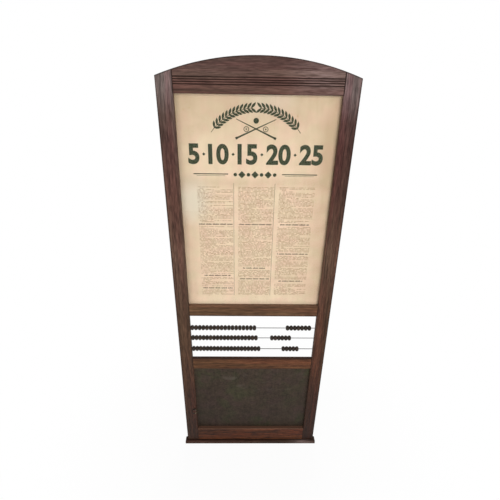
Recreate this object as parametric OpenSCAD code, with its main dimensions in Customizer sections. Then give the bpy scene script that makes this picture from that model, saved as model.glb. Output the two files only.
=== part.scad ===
// Billiards scoreboard for a wall: an arched oak frame that holds a printed
// sheet behind glass, three wires of sliding beads and a writing slate.
// The origin is midway between the two hanging holes, in the plane of the
// wall. X runs to the right, Z runs up and the front of the board faces -Y.

/* [Frame] */
// Width over both stiles
board_w = 600; // [500:5:800]
// Width of each stile
stile_w = 50; // [44:1:70]
// Thickness of the stiles and the rails
frame_t = 16; // [14:0.5:24]
// Height of the bottom rail
bottom_rail_h = 74; // [60:1:120]
// Height of the opening for the slate
slate_open_h = 380; // [240:5:600]
// Height of the rail between the slate and the bead window
lower_rail_h = 54; // [42:1:90]
// Height of the bead window
window_h = 221; // [200:1:320]
// Height of the rail between the bead window and the print
middle_rail_h = 47; // [42:1:90]
// Height of the opening for the print
print_open_h = 752; // [500:1:1000]
// Height of the top rail at the outer corners of the board
top_rail_h = 47; // [46:1:90]
// Rise of the arch above the outer corners
arch_rise = 55; // [20:1:110]

/* [Reeded top rail] */
// Number of fine grooves across the top rail
groove_count = 4; // [1:1:5]
// Distance from one groove to the next
groove_spacing = 6.5; // [4:0.5:8]
// Width of a groove
groove_w = 3; // [1:0.25:3.5]
// Height of the lowest groove above the rail's lower edge
groove_start = 25.5; // [8:0.5:30]

/* [Frame joints] */
// Length of each rail's tenon
tenon_l = 34; // [20:1:38]
// Thickness of a tenon
tenon_t = 6; // [4:0.5:8]
// Shoulder above and below a tenon
tenon_shoulder = 7; // [4:0.5:12]
// Clearance round a tenon in its mortise
tenon_gap = 0.1; // [0.05:0.05:0.3]

/* [Plinth] */
// Thickness of the plinth
plinth_t = 22; // [16:1:34]
// How far the plinth stands proud of the frame at the front
plinth_front = 8; // [4:1:16]
// How far the plinth stands proud of the frame at each end
plinth_side = 11; // [4:1:20]
// Radius of the plinth's upper front and end edges
plinth_top_r = 7.5; // [1:0.5:9]
// Radius of the plinth's lower front and end edges
plinth_foot_r = 2; // [1:0.5:6]

/* [Battens at the back] */
// Thickness of the battens
batten_t = 14; // [13.5:0.5:20]
// Width of the cross battens
cross_batten_w = 26; // [18:1:28]
// Width of the seat that the battens leave behind each opening's edge
seat_w = 12; // [8:1:14]
// Distance from a stile's outer edge to its batten
batten_inset = 12; // [6:1:14]
// Distance from the plinth to the feet of the side battens
batten_foot = 12; // [4:1:24]

/* [Print and slate] */
// Thickness of the glass pane
glass_t = 3; // [2:0.25:4]
// Thickness of the printed sheet on its card
sheet_t = 0.6; // [0.4:0.1:1]
// Gap between the pane and the sheet
sheet_gap = 0.5; // [0.2:0.1:0.8]
// Distance from the opening's edge to the card spacer in that gap
spacer_back = 2; // [1:0.5:5]
// Thickness of the slate
slate_t = 6; // [4:0.5:7]
// Depth of each stack behind the frame, from the pane or slate to the backboard's back
stack_t = 12; // [10.5:0.25:12]
// Clearance round each pane and panel in its seat
pane_gap = 1; // [0.5:0.25:2]
// Number of planks in each backboard
plank_count = 3; // [2:1:4]
// Gap between two planks
plank_gap = 0.5; // [0.3:0.1:1]

/* [Bead wires] */
// Diameter of the wires
wire_d = 2.6; // [2:0.1:3]
// Depth of each wire's end in its stile
wire_in = 12; // [6:1:12]
// Height of the upper wire above the window's lower edge
upper_wire_h = 158; // [140:1:180]
// Height of the middle wire above the window's lower edge
middle_wire_h = 107; // [85:1:125]
// Height of the lower wire above the window's lower edge
lower_wire_h = 50; // [25:1:70]

/* [Beads] */
// Largest diameter of a bead
bead_d = 20.8; // [14:0.1:22]
// Length of a bead along its wire
bead_l = 14; // [8:0.25:14.5]
// Diameter of a bead's flat ends
bead_end_d = 10.4; // [8:0.1:13]
// Diameter of a bead's bore
bead_bore = 3.2; // [3.2:0.1:5]
// Depth of the chamfer at each mouth of a bead's bore
bead_mouth = 0.6; // [0.2:0.1:1.5]
// Number of beads on each wire
beads_per_wire = 25; // [22:1:25]
// Beads pushed to the left on the upper wire
upper_left_beads = 18; // [1:1:19]
// Beads pushed to the left on the middle wire
middle_left_beads = 19; // [1:1:20]
// Beads pushed to the left on the lower wire
lower_left_beads = 20; // [1:1:21]
// Space between two neighbouring beads on the upper wire
upper_play = 0.6; // [0.05:0.05:0.8]
// Space between two neighbouring beads on the middle wire
middle_play = 0.2; // [0.05:0.05:0.8]
// Space between two neighbouring beads on the lower wire
lower_play = 0.1; // [0.05:0.05:0.8]
// Share of the upper wire's free length that lies right of its last bead
upper_right_share = 0.12; // [0:0.01:1]
// Share of the middle wire's free length that lies right of its last bead
middle_right_share = 0.65; // [0:0.01:1]
// Share of the lower wire's free length that lies right of its last bead
lower_right_share = 0.4; // [0:0.01:1]
// Clearance that stays between a run of beads and the stile or run it is pushed to
bead_stop_gap = 0.3; // [0.2:0.1:1]

/* [Screw eye for the chalk] */
// Outer diameter of the ring
eye_d = 25; // [16:1:30]
// Diameter of the eye's wire
eye_wire_d = 3.25; // [2:0.25:4]
// Length of the shank between the stile and the ring
eye_neck = 3.5; // [2:0.5:10]
// Depth of the shank in the stile
eye_in = 13; // [8:0.5:13]
// Distance from the stile's inner edge to the shank
eye_edge = 6; // [5:0.5:12]
// Height of the eye above the slate opening's lower edge
eye_h = 135; // [60:1:220]

/* [Hanging plates] */
// Distance from the print opening's upper edge down to the hanging holes
hanger_drop = 72; // [50:1:90]
// Length of a hanging plate
plate_l = 60; // [48:1:70]
// Width of a hanging plate
plate_w = 20; // [14:1:22]
// Thickness of a hanging plate
plate_t = 2; // [1:0.25:3]
// Diameter of the hanging hole
hang_hole_d = 8; // [5:0.5:9]
// Distance from the hanging hole to each of the plate's screws
plate_screw_at = 22; // [16:1:24]
// Diameter of the pocket behind the hanging hole
pocket_d = 15; // [12:0.5:17]

/* [Screws and pins] */
// Diameter of the screws that hold the battens and the plinth
screw_d = 4; // [3:0.25:4.5]
// Diameter of their heads
screw_head_d = 7.6; // [6:0.2:8.4]
// Length of the batten screws
batten_screw_l = 26; // [20:1:27]
// Length of the plinth screws
plinth_screw_l = 45; // [30:1:60]
// Distance between two plinth screws
plinth_screw_spacing = 130; // [60:5:140]
// Distance between two screws in a cross batten
cross_screw_spacing = 180; // [100:5:200]
// Diameter of the small screws in the hanging plates
plate_screw_d = 3; // [2:0.25:3.5]
// Diameter of their heads
plate_screw_head_d = 5.8; // [5:0.2:6.4]
// Length of the small screws
plate_screw_l = 13; // [8:1:16]
// How far a screw's head lies below the surface
screw_sink = 0.3; // [0.1:0.1:0.5]
// Width of the slot in a screw's head
slot_w = 0.9; // [0.6:0.1:1.2]
// Clearance round a screw, pin or wire in its hole
hole_gap = 0.05; // [0.02:0.01:0.1]
// Diameter of the pins that hold the backboards
pin_d = 1.5; // [1:0.1:1.5]
// Length of a pin
pin_l = 15; // [12:1:16]
// Depth of a pin in its batten
pin_in = 7; // [4:0.5:7]

/* [Hidden] */

$fn = 64;
// The arch is a shallow arc of a large circle, so it is drawn finely.
arch_fn = 256;
// Overshoot of a cut past the surface that it opens.
over = 1;

half_w = board_w / 2;
open_half = half_w - stile_w;
back_y = frame_t + batten_t;

// Levels, counted up from the underside of the plinth.
z_frame = plinth_t;
z_slate = z_frame + bottom_rail_h;
z_lower = z_slate + slate_open_h;
z_window = z_lower + lower_rail_h;
z_middle = z_window + window_h;
z_print = z_middle + middle_rail_h;
z_top = z_print + print_open_h;
z_spring = z_top + top_rail_h;
z_peak = z_spring + arch_rise;
arch_r = (half_w * half_w + arch_rise * arch_rise) / (2 * arch_rise);

hang_z = z_top - hanger_drop;
batten_x = half_w - batten_inset;
batten_inner = open_half + seat_w;
batten_w = batten_x - batten_inner;
batten_mid_x = (batten_x + batten_inner) / 2;
batten_top = z_top + seat_w + cross_batten_w;
pane_half = batten_inner - pane_gap;
stack_back = frame_t + stack_t;
pin_y = stack_back + pin_d / 2;
sheet_y = frame_t + glass_t + sheet_gap;
backboard_y = sheet_y + sheet_t;

upper_wire_z = z_window + upper_wire_h;
middle_wire_z = z_window + middle_wire_h;
lower_wire_z = z_window + lower_wire_h;
wire_y = frame_t / 2;
bead_crown = (bead_d - bead_end_d) / 2;
bead_round_r = (bead_l * bead_l / 4 + bead_crown * bead_crown) / (2 * bead_crown);
eye_ring_r = (eye_d - eye_wire_d) / 2;
eye_x = -(open_half + eye_edge);
eye_z = z_slate + eye_h;

// Centres of n equal stretches of a height.
function marks(z0, h, n) = [for (i = [0 : n - 1]) z0 + h * (i + 0.5) / n];
side_screw_z = concat(
    marks(z_slate, slate_open_h, 2), marks(z_window, window_h, 1), marks(z_print, print_open_h, 2)
);
cross_batten_z = [
    z_slate - seat_w - cross_batten_w, z_lower + seat_w, z_print - seat_w - cross_batten_w, z_top + seat_w
];
cross_screw_x = [-cross_screw_spacing, 0, cross_screw_spacing];
plinth_screw_x = [for (i = [-1.5 : 1 : 1.5]) i * plinth_screw_spacing];
cross_pin_x = [-cross_screw_spacing / 2, cross_screw_spacing / 2];

oak = [0.30, 0.19, 0.13];
oak_low = [0.24, 0.15, 0.10];
pine = [0.55, 0.42, 0.27];
bead_wood = [0.13, 0.10, 0.08];
iron = [0.32, 0.30, 0.28];

// Everything is drawn from the front face and the plinth's underside, and moved to the origin here.
module placed() {
    translate([0, -back_y, -hang_z]) children();
}

// What is drawn at the left, moved to the right.
module mirrored() {
    mirror([1, 0, 0]) children();
}

// Screws and their holes

// A slotted screw with a countersunk head, its head's face at the origin and its tip down.
module screw(d, l, head_d) {
    head_h = (head_d - d) / 2;
    difference() {
        union() {
            translate([0, 0, -l]) cylinder(d1 = d / 4, d2 = d, h = d, $fn = 24);
            translate([0, 0, d - l]) cylinder(d = d, h = l - d, $fn = 24);
            translate([0, 0, -head_h]) cylinder(d1 = d, d2 = head_d, h = head_h, $fn = 24);
        }
        translate([-head_d, -slot_w / 2, -head_h / 2]) cube([2 * head_d, slot_w, head_h]);
    }
}

module screw_hole(d, l, head_d) {
    head_h = (head_d - d) / 2;
    g = 2 * hole_gap;
    translate([0, 0, -l - hole_gap]) cylinder(d = d + g, h = l + hole_gap, $fn = 24);
    translate([0, 0, -head_h]) cylinder(d1 = d + g, d2 = head_d + g, h = head_h, $fn = 24);
    cylinder(d = head_d + g, h = over, $fn = 24);
}

// Puts a screw or its hole at the back of the battens, with its tip to the front.
module from_back(x, z) {
    translate([x, back_y - screw_sink, z]) rotate([-90, 0, 0]) children();
}

module batten_screw_places() {
    for (side = [-1, 1], z = side_screw_z) {
        from_back(side * batten_mid_x, z) children();
    }
    for (z = cross_batten_z, x = cross_screw_x) {
        from_back(x, z + cross_batten_w / 2) children();
    }
}

module plinth_screw_places() {
    for (x = plinth_screw_x) {
        translate([x, frame_t / 2, screw_sink]) rotate([180, 0, 0]) children();
    }
}

module plate_screw_places() {
    for (side = [-1, 1], dz = [-plate_screw_at, plate_screw_at]) {
        from_back(side * batten_mid_x, hang_z + dz) children();
    }
}

module batten_screw_holes() {
    batten_screw_places() screw_hole(screw_d, batten_screw_l, screw_head_d);
}

module plinth_screw_holes() {
    plinth_screw_places() screw_hole(screw_d, plinth_screw_l, screw_head_d);
}

module plate_screw_holes() {
    plate_screw_places() screw_hole(plate_screw_d, plate_screw_l, plate_screw_head_d);
}

module batten_screws() {
    color(iron) placed() batten_screw_places() screw(screw_d, batten_screw_l, screw_head_d);
}

module plinth_screws() {
    color(iron) placed() plinth_screw_places() screw(screw_d, plinth_screw_l, screw_head_d);
}

module hanging_plate_screws() {
    color(iron) placed() plate_screw_places() {
        screw(plate_screw_d, plate_screw_l, plate_screw_head_d);
    }
}

// Frame

// All that lies under the arch.
module under_arch() {
    translate([0, -over, z_peak - arch_r]) rotate([-90, 0, 0]) {
        cylinder(r = arch_r, h = frame_t + 2 * over, $fn = arch_fn);
    }
    translate([-half_w, -over, 0]) cube([board_w, frame_t + 2 * over, z_spring]);
}

// The tongue that runs through a rail and out at both ends, or with a gap the slot for it.
module tenon_bar(z0, h, gap) {
    reach = open_half + tenon_l + gap;
    translate([-reach, (frame_t - tenon_t) / 2 - gap, z0 + tenon_shoulder - gap]) {
        cube([2 * reach, tenon_t + 2 * gap, h - 2 * tenon_shoulder + 2 * gap]);
    }
}

module all_mortises() {
    tenon_bar(z_frame, bottom_rail_h, tenon_gap);
    tenon_bar(z_lower, lower_rail_h, tenon_gap);
    tenon_bar(z_middle, middle_rail_h, tenon_gap);
    tenon_bar(z_top, top_rail_h, tenon_gap);
}

module wire_bar(z, d, depth) {
    translate([0, wire_y, z]) rotate([0, 90, 0]) {
        cylinder(d = d, h = 2 * (open_half + depth), center = true, $fn = 32);
    }
}

module wire_holes() {
    for (z = [upper_wire_z, middle_wire_z, lower_wire_z]) {
        wire_bar(z, wire_d + 2 * hole_gap, wire_in + hole_gap);
    }
}

module stile_blank() {
    difference() {
        intersection() {
            translate([-half_w, 0, z_frame]) cube([stile_w, frame_t, z_peak - z_frame]);
            under_arch();
        }
        all_mortises();
        wire_holes();
        batten_screw_holes();
    }
}

module left_stile() {
    color(oak) placed() difference() {
        stile_blank();
        translate([eye_x, eye_in + hole_gap, eye_z]) rotate([90, 0, 0]) {
            cylinder(d = eye_wire_d + 2 * hole_gap, h = eye_in + over, $fn = 32);
        }
    }
}

module right_stile() {
    color(oak) placed() mirrored() stile_blank();
}

module rail_blank(z0, h) {
    translate([-open_half, 0, z0]) cube([2 * open_half, frame_t, h]);
    tenon_bar(z0, h, 0);
}

module grooves() {
    for (i = [0 : groove_count - 1]) {
        translate([0, 0, z_top + groove_start + i * groove_spacing]) rotate([0, 90, 0]) {
            cylinder(d = groove_w, h = 2 * open_half + over, center = true, $fn = 32);
        }
    }
}

module arched_top_rail() {
    color(oak) placed() difference() {
        union() {
            intersection() {
                translate([-open_half, 0, z_top]) cube([2 * open_half, frame_t, z_peak - z_top]);
                under_arch();
            }
            tenon_bar(z_top, top_rail_h, 0);
        }
        grooves();
        batten_screw_holes();
    }
}

module middle_rail() {
    color(oak) placed() difference() {
        rail_blank(z_middle, middle_rail_h);
        batten_screw_holes();
    }
}

module lower_rail() {
    color(oak) placed() difference() {
        rail_blank(z_lower, lower_rail_h);
        batten_screw_holes();
    }
}

module bottom_rail() {
    color(oak_low) placed() difference() {
        rail_blank(z_frame, bottom_rail_h);
        batten_screw_holes();
        plinth_screw_holes();
    }
}

// A board's section with its front arrises rounded: width to the back, height up.
module plinth_section(depth, rounds) {
    foot = plinth_foot_r;
    top = plinth_top_r;
    difference() {
        square([depth, plinth_t]);
        for (end = rounds) {
            translate([end * depth, 0]) mirror([end, 0]) difference() {
                translate([-over, -over]) square([foot + over, foot + over]);
                translate([foot, foot]) circle(r = foot);
            }
            translate([end * depth, plinth_t]) mirror([end, 0]) difference() {
                translate([-over, -top]) square([top + over, top + over]);
                translate([top, -top]) circle(r = top);
            }
        }
    }
}

module base_plinth() {
    length = board_w + 2 * plinth_side;
    depth = frame_t + plinth_front;
    color(oak_low) placed() difference() {
        translate([-length / 2, -plinth_front, 0]) intersection() {
            rotate([90, 0, 90]) linear_extrude(length) plinth_section(depth, [0]);
            translate([0, depth, 0]) rotate([90, 0, 0]) linear_extrude(depth) plinth_section(length, [0, 1]);
        }
        plinth_screw_holes();
    }
}

// Battens

module side_batten() {
    foot = z_frame + batten_foot;
    difference() {
        translate([-batten_x, frame_t, foot]) cube([batten_w, batten_t, batten_top - foot]);
        batten_screw_holes();
        print_pin_places() pin_hole();
        slate_pin_places() pin_hole();
        plate_body(plate_w + 2 * hole_gap, plate_l + 2 * hole_gap);
        hanger_pocket();
        plate_screw_holes();
    }
}

module left_back_batten() {
    color(oak) placed() side_batten();
}

module right_back_batten() {
    color(oak) placed() mirrored() side_batten();
}

module cross_batten(z0) {
    color(oak) placed() difference() {
        translate([-batten_inner, frame_t, z0]) cube([2 * batten_inner, batten_t, cross_batten_w]);
        batten_screw_holes();
        print_pin_places() pin_hole();
        slate_pin_places() pin_hole();
    }
}

module bottom_cross_batten() {
    cross_batten(cross_batten_z[0]);
}

module lower_cross_batten() {
    cross_batten(cross_batten_z[1]);
}

module middle_cross_batten() {
    cross_batten(cross_batten_z[2]);
}

module top_cross_batten() {
    cross_batten(cross_batten_z[3]);
}

// Hanging plates

// The plate's outline at the left batten, let in flush with the wall side.
module plate_body(w, l) {
    translate([-batten_mid_x - w / 2, back_y - plate_t, hang_z - l / 2]) cube([w, plate_t + over, l]);
}

module hanger_pocket() {
    translate([-batten_mid_x, frame_t - over, hang_z]) rotate([-90, 0, 0]) {
        cylinder(d = pocket_d, h = batten_t + 2 * over);
    }
}

module hanging_plate() {
    difference() {
        intersection() {
            plate_body(plate_w, plate_l);
            translate([-half_w, 0, 0]) cube([board_w, back_y, z_peak]);
        }
        translate([-batten_mid_x, back_y + over, hang_z]) rotate([90, 0, 0]) {
            cylinder(d = hang_hole_d, h = plate_t + 2 * over, $fn = 48);
        }
        plate_screw_holes();
    }
}

module left_hanging_plate() {
    color(iron) placed() hanging_plate();
}

module right_hanging_plate() {
    color(iron) placed() mirrored() hanging_plate();
}

// Pins that keep the backboards in

module pin() {
    translate([0, 0, -pin_in]) cylinder(d = pin_d, h = pin_l, $fn = 16);
}

module pin_hole() {
    translate([0, 0, -pin_in - hole_gap]) {
        cylinder(d = pin_d + 2 * hole_gap, h = pin_in + hole_gap + over, $fn = 16);
    }
}

// Each pin starts at the edge of a batten and points into the opening.
module pin_places(z0, h, n) {
    for (side = [-1, 1], z = marks(z0, h, n)) {
        translate([side * batten_inner, pin_y, z]) rotate([0, -90 * side, 0]) children();
    }
    for (x = cross_pin_x) {
        translate([x, pin_y, z0 - seat_w]) children();
        translate([x, pin_y, z0 + h + seat_w]) rotate([180, 0, 0]) children();
    }
}

module print_pin_places() {
    pin_places(z_print, print_open_h, 3) children();
}

module slate_pin_places() {
    pin_places(z_slate, slate_open_h, 3) children();
}

module print_pins() {
    color(iron) placed() print_pin_places() pin();
}

module slate_pins() {
    color(iron) placed() slate_pin_places() pin();
}

// Print and slate

// A sheet or panel that fills the seat behind an opening, from one depth to another.
module pane(z0, h, y0, y1) {
    lap = seat_w - pane_gap;
    translate([-pane_half, y0, z0 - lap]) cube([2 * pane_half, y1 - y0, h + 2 * lap]);
}

// The same panel as upright planks.
module planks(z0, h, y0, y1) {
    w = (2 * pane_half - (plank_count - 1) * plank_gap) / plank_count;
    intersection() {
        pane(z0, h, y0, y1);
        for (i = [0 : plank_count - 1]) {
            translate([-pane_half + i * (w + plank_gap), 0, 0]) cube([w, back_y, z_peak]);
        }
    }
}

module glass_pane() {
    color([0.80, 0.88, 0.86, 0.35]) placed() pane(z_print, print_open_h, frame_t, frame_t + glass_t);
}

// A frame of card, hidden behind the oak, that keeps the glass off the sheet.
module glass_spacer() {
    half = open_half + spacer_back;
    color([0.72, 0.63, 0.50]) placed() difference() {
        pane(z_print, print_open_h, frame_t + glass_t, sheet_y);
        translate([-half, 0, z_print - spacer_back]) {
            cube([2 * half, back_y, print_open_h + 2 * spacer_back]);
        }
    }
}

module printed_sheet() {
    color([0.80, 0.69, 0.53]) placed() pane(z_print, print_open_h, sheet_y, backboard_y);
}

module print_backboard() {
    color(pine) placed() planks(z_print, print_open_h, backboard_y, stack_back);
}

module slate_panel() {
    color([0.22, 0.20, 0.18]) placed() pane(z_slate, slate_open_h, frame_t, frame_t + slate_t);
}

module slate_backboard() {
    color(pine) placed() planks(z_slate, slate_open_h, frame_t + slate_t, stack_back);
}

// Wires and beads

module upper_wire() {
    color(iron) placed() wire_bar(upper_wire_z, wire_d, wire_in);
}

module middle_wire() {
    color(iron) placed() wire_bar(middle_wire_z, wire_d, wire_in);
}

module lower_wire() {
    color(iron) placed() wire_bar(lower_wire_z, wire_d, wire_in);
}

// A turned bead on the X axis, with flat ends and a bore that opens a little at each mouth.
module bead() {
    rotate([0, 90, 0]) difference() {
        rotate_extrude($fn = 48) intersection() {
            translate([bead_d / 2 - bead_round_r, 0]) circle(r = bead_round_r, $fn = 96);
            translate([0, -bead_l / 2]) square([bead_d, bead_l]);
        }
        cylinder(d = bead_bore, h = bead_l + 2 * over, center = true, $fn = 24);
        for (up = [0, 1]) {
            mirror([0, 0, up]) translate([0, 0, bead_l / 2 - bead_mouth]) {
                cylinder(d1 = bead_bore, d2 = bead_bore + 4 * bead_mouth, h = 2 * bead_mouth, $fn = 24);
            }
        }
    }
}

// Length of a wire that is left beside its beads and the clearances that stay.
function free_wire(play) =
    2 * open_half - beads_per_wire * bead_l - (beads_per_wire - 2) * play - 3 * bead_stop_gap;

module left_run(count, play, z) {
    first = -open_half + bead_stop_gap + bead_l / 2;
    color(bead_wood) placed() for (i = [0 : count - 1]) {
        translate([first + i * (bead_l + play), wire_y, z]) bead();
    }
}

module right_run(count, play, share, z) {
    last = open_half - bead_stop_gap - share * free_wire(play) - bead_l / 2;
    color(bead_wood) placed() for (i = [0 : count - 1]) {
        translate([last - i * (bead_l + play), wire_y, z]) bead();
    }
}

module upper_left_beads_run() {
    left_run(upper_left_beads, upper_play, upper_wire_z);
}

module upper_right_beads_run() {
    right_run(beads_per_wire - upper_left_beads, upper_play, upper_right_share, upper_wire_z);
}

module middle_left_beads_run() {
    left_run(middle_left_beads, middle_play, middle_wire_z);
}

module middle_right_beads_run() {
    right_run(beads_per_wire - middle_left_beads, middle_play, middle_right_share, middle_wire_z);
}

module lower_left_beads_run() {
    left_run(lower_left_beads, lower_play, lower_wire_z);
}

module lower_right_beads_run() {
    right_run(beads_per_wire - lower_left_beads, lower_play, lower_right_share, lower_wire_z);
}

// A screw eye with its ring level, for the string of the chalk.
module chalk_screw_eye() {
    color(iron) placed() translate([eye_x, 0, eye_z]) {
        translate([0, -eye_neck - eye_ring_r, 0]) {
            rotate_extrude() translate([eye_ring_r, 0]) circle(d = eye_wire_d, $fn = 32);
        }
        translate([0, eye_in, 0]) rotate([90, 0, 0]) {
            cylinder(d = eye_wire_d, h = eye_in + eye_neck, $fn = 32);
        }
    }
}

left_stile();
right_stile();
arched_top_rail();
middle_rail();
lower_rail();
bottom_rail();
base_plinth();
left_back_batten();
right_back_batten();
top_cross_batten();
middle_cross_batten();
lower_cross_batten();
bottom_cross_batten();
glass_pane();
glass_spacer();
printed_sheet();
print_backboard();
slate_panel();
slate_backboard();
upper_wire();
middle_wire();
lower_wire();
upper_left_beads_run();
upper_right_beads_run();
middle_left_beads_run();
middle_right_beads_run();
lower_left_beads_run();
lower_right_beads_run();
chalk_screw_eye();
left_hanging_plate();
right_hanging_plate();
hanging_plate_screws();
batten_screws();
plinth_screws();
print_pins();
slate_pins();
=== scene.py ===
"""Looks of the billiards scoreboard: an arched oak board with a printed sheet, bead wires and a slate.

Lengths are in metres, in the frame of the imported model: X runs to the right, Z runs up, the
front faces -Y, and the origin lies midway between the two hanging holes.
"""

import logging
import math
from abc import ABC, abstractmethod
from collections.abc import Callable, Iterable, Mapping, Sequence
from dataclasses import dataclass
from enum import Enum

import bmesh
import bpy
from mathutils import Matrix, Vector


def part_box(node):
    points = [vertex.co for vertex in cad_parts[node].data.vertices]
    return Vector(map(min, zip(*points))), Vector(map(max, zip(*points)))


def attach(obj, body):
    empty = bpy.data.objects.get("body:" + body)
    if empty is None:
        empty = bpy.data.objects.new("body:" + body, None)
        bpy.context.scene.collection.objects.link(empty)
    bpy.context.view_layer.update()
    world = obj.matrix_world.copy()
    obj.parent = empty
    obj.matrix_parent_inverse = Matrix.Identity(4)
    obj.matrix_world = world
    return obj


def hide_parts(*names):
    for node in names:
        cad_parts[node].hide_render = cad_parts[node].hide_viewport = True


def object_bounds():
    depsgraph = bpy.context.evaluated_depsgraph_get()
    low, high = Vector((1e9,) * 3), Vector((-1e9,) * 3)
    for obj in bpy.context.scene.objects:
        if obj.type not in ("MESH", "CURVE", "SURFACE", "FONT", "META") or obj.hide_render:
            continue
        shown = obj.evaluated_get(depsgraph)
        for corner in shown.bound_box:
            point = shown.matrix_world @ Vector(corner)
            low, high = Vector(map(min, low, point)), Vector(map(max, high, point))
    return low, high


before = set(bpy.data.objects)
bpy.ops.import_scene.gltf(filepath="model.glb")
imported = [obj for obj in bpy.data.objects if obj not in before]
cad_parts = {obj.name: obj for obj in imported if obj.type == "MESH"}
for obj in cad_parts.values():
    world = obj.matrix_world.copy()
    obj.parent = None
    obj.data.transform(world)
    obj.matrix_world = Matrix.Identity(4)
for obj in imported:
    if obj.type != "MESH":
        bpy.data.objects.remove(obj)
cad_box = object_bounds()

log = logging.getLogger("scoreboard")
Colour = tuple[float, float, float]
Tones = tuple[tuple[float, Colour], ...]
Point = Sequence[float]
Verts = list[bmesh.types.BMVert]
Geometry = Iterable[bmesh.types.BMVert | bmesh.types.BMEdge | bmesh.types.BMFace]
Holder = bpy.types.Material | bpy.types.World
BOARD = "board"
LIGHT_SHADE_AND_GRIME = "wear"  # face attribute: above 0 for painted light, below 0 for painted shade on ledges and in grooves and for darker arrises
WHITE: Colour = (1.0, 1.0, 1.0)
FOOT = cad_box[0].z
HEIGHT = cad_box[1].z - FOOT
HAIR = 1e-6  # a length that is too short to matter
FULL_TURN = 2 * math.pi


def paint(*shown: float) -> Colour:
    """The shader's colour for a display colour.

    Args:
        shown: Red, green and blue, from 0 to 255.

    Returns:
        The colour in linear light.
    """
    shares = (value / 255 for value in shown)
    return tuple(s / 12.92 if s <= 0.04045 else ((s + 0.055) / 1.055) ** 2.4 for s in shares)


def tones(*stops: tuple[float, ...]) -> Tones:
    """The stops of a ramp, each from its place and its display colour."""
    return tuple((place, paint(*shown)) for place, *shown in stops)


# Shaders


def _both_ways(operation: str) -> tuple[Callable[..., "Wire"], Callable[..., "Wire"]]:
    """A Math node's operation as an operator.

    Args:
        operation: The operation.

    Returns:
        The operator and its reflected form.
    """
    return (
        lambda wire, other: wire.maths(operation, wire, other),
        lambda wire, other: wire.maths(operation, other, wire),
    )


class Wire:
    """An output socket of a shader tree that takes part in sums."""

    def __init__(self, tree: "Tree", socket: bpy.types.NodeSocket) -> None:
        """Wraps a socket of a tree."""
        self.tree, self.socket = tree, socket

    def maths(self, operation: str, *terms: "Term") -> "Wire":
        """One Math node on some terms."""
        return self.tree.node("ShaderNodeMath", {"operation": operation}, dict(enumerate(terms)))

    __add__, __radd__ = _both_ways("ADD")
    __sub__, __rsub__ = _both_ways("SUBTRACT")
    __mul__, __rmul__ = _both_ways("MULTIPLY")
    __truediv__, __rtruediv__ = _both_ways("DIVIDE")
    __pow__, __rpow__ = _both_ways("POWER")
    __mod__, __rmod__ = _both_ways("FLOORED_MODULO")

    def __abs__(self) -> "Wire":
        """Absolute value."""
        return self.maths("ABSOLUTE", self)

    def floor(self) -> "Wire":
        """Whole part."""
        return self.maths("FLOOR", self)

    def above(self, edge: "Term") -> "Wire":
        """1 where the value is more than the edge, and 0 elsewhere."""
        return self.maths("GREATER_THAN", self, edge)

    def rise(self, low: float, high: float) -> "Wire":
        """A smooth rise from 0 at low to 1 at high."""
        smooth = {"interpolation_type": "SMOOTHSTEP"}
        return self.tree.node("ShaderNodeMapRange", smooth, {0: self, 1: low, 2: high})


Term = Wire | float


def distance(first: Wire, second: Wire) -> Wire:
    """Distance from a point, from how far off it is in two directions."""
    return (first ** 2 + second ** 2) ** 0.5


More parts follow.
